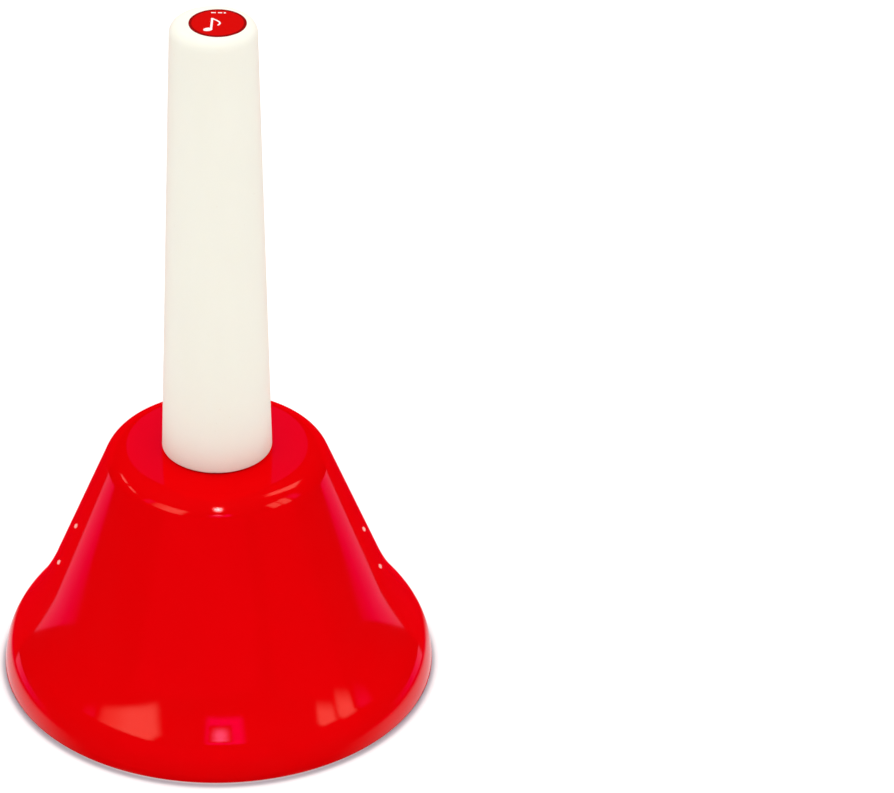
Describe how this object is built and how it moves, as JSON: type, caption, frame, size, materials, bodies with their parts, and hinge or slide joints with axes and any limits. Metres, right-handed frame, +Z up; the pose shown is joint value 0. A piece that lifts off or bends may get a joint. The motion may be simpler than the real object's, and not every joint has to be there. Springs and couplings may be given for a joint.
{
  "type": "handbell",
  "caption": "Single-note handbell: flared enamelled bell, tapered plastic handle, note label and a free-swinging clapper.",
  "frame": {"origin": "centre of the circle the rim rests on, at the bottom of the bell", "axes": "+Z up the handle, +X along the clapper's pivot pin, +Y away from the viewer and towards the player; the clapper swings along Y"},
  "size_m": [0.085, 0.085, 0.1433],
  "materials": {
    "enamel": "high-gloss red enamel",
    "handle_plastic": "smooth ivory, semi-gloss",
    "label_vinyl": "printed vinyl disc",
    "brass": "machined",
    "rubber": "matte black",
    "fibre": "vulcanised fibre",
    "plated_steel": "bright zinc plate",
    "nylon": "black moulded nylon",
    "felt": "pressed hard felt"
  },
  "bodies": {
    "bell": {"bell_shell": "enamel", "handle": "handle_plastic", "note_label": "label_vinyl", "handle_insert": "brass", "handle_gasket": "rubber", "fibre_washer": "fibre", "clapper_yoke": "plated_steel", "flat_washer": "plated_steel", "lock_washer": "plated_steel", "handle_screw": "plated_steel", "stop_buffer_front": "rubber", "stop_buffer_rear": "rubber", "pivot_pin": "plated_steel", "pin_clip": "plated_steel"},
    "clapper": {"clapper_hub": "nylon", "pivot_bush_left": "brass", "pivot_bush_right": "brass", "clapper_rod": "plated_steel", "clapper_head": "nylon", "striker_front": "felt", "striker_rear": "felt", "head_washer": "plated_steel", "clapper_nut": "plated_steel"}
  },
  "joints": [
    {"name": "clapper_swing", "type": "hinge", "parent": "bell", "child": "clapper", "pos_m": [0, 0, 0.0365], "axis": [1, 0, 0], "range_deg": [-38, 38]}
  ]
}
